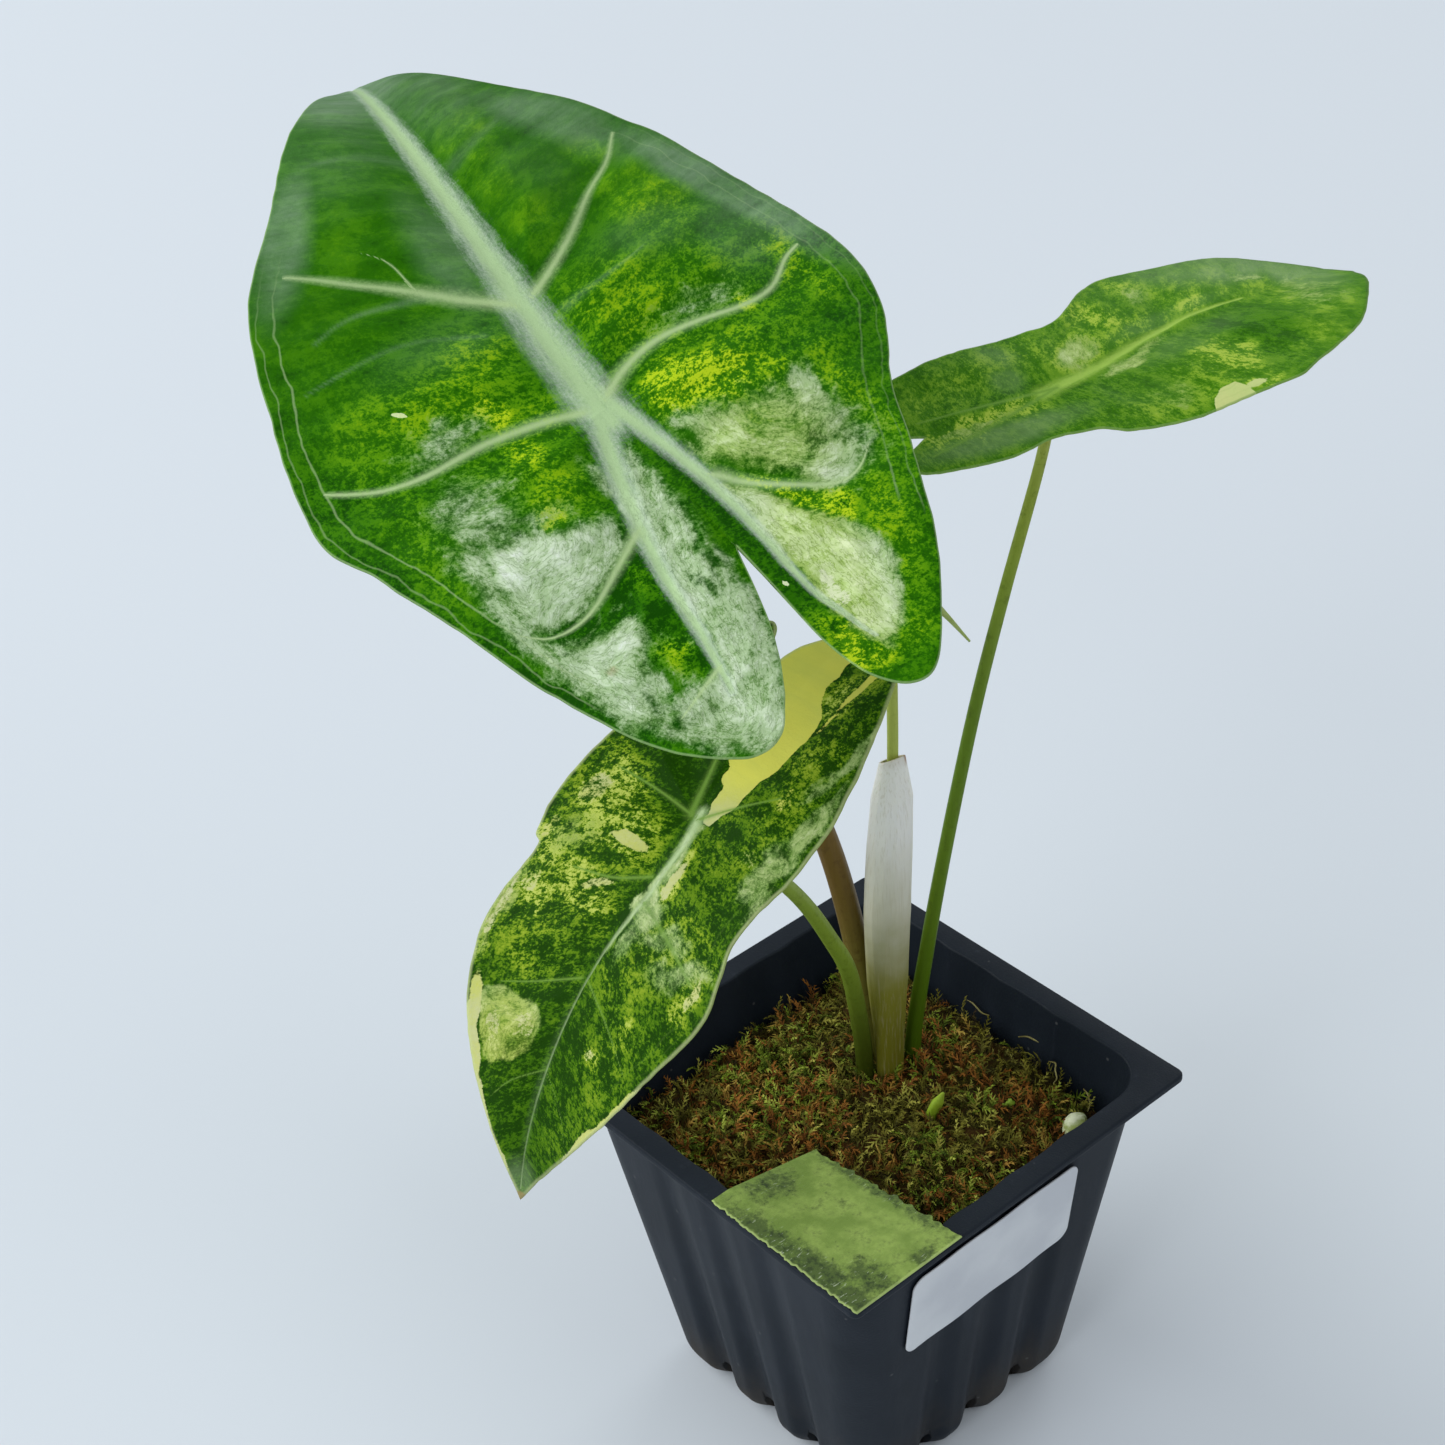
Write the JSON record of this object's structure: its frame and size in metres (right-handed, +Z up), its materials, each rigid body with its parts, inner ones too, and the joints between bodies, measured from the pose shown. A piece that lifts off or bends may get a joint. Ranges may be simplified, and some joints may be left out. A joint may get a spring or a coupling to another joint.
{
  "type": "potted variegated alocasia venusta",
  "caption": "Small aroid with heart-shaped leaves marbled in green, lime and cream on slim stalks, rooted in living moss in a square fluted nursery pot.",
  "frame": {"origin": "middle of the pot's underside, on the surface it stands on", "axes": "+Z up out of the pot, X and Y square to the pot's faces, the labelled face towards -Y"},
  "size_m": [0.1796, 0.1675, 0.2294],
  "materials": {
    "pot_plastic": "satin",
    "substrate": "matte",
    "corm": "matte",
    "moss": "matte",
    "pebble": "matte",
    "young_green": "satin",
    "sheath": "satin",
    "petiole_brown": "satin",
    "petiole_green": "satin",
    "leaf_green": "satin",
    "leaf_marbled": "satin",
    "tape": "matte",
    "label": "satin"
  },
  "bodies": {
    "root": {"pot": "pot_plastic", "substrate": "substrate", "corm": "corm", "moss": "moss", "pebble": "pebble", "leaf_bit": "young_green", "sheath": "sheath", "new_leaf": "young_green", "leaf_1_petiole": "petiole_brown", "leaf_2_petiole": "petiole_green", "leaf_3_petiole": "petiole_green", "leaf_1_blade": "leaf_green", "leaf_2_blade": "leaf_marbled", "leaf_3_blade": "leaf_green", "tape": "tape", "label": "label"}
  },
  "joints": []
}
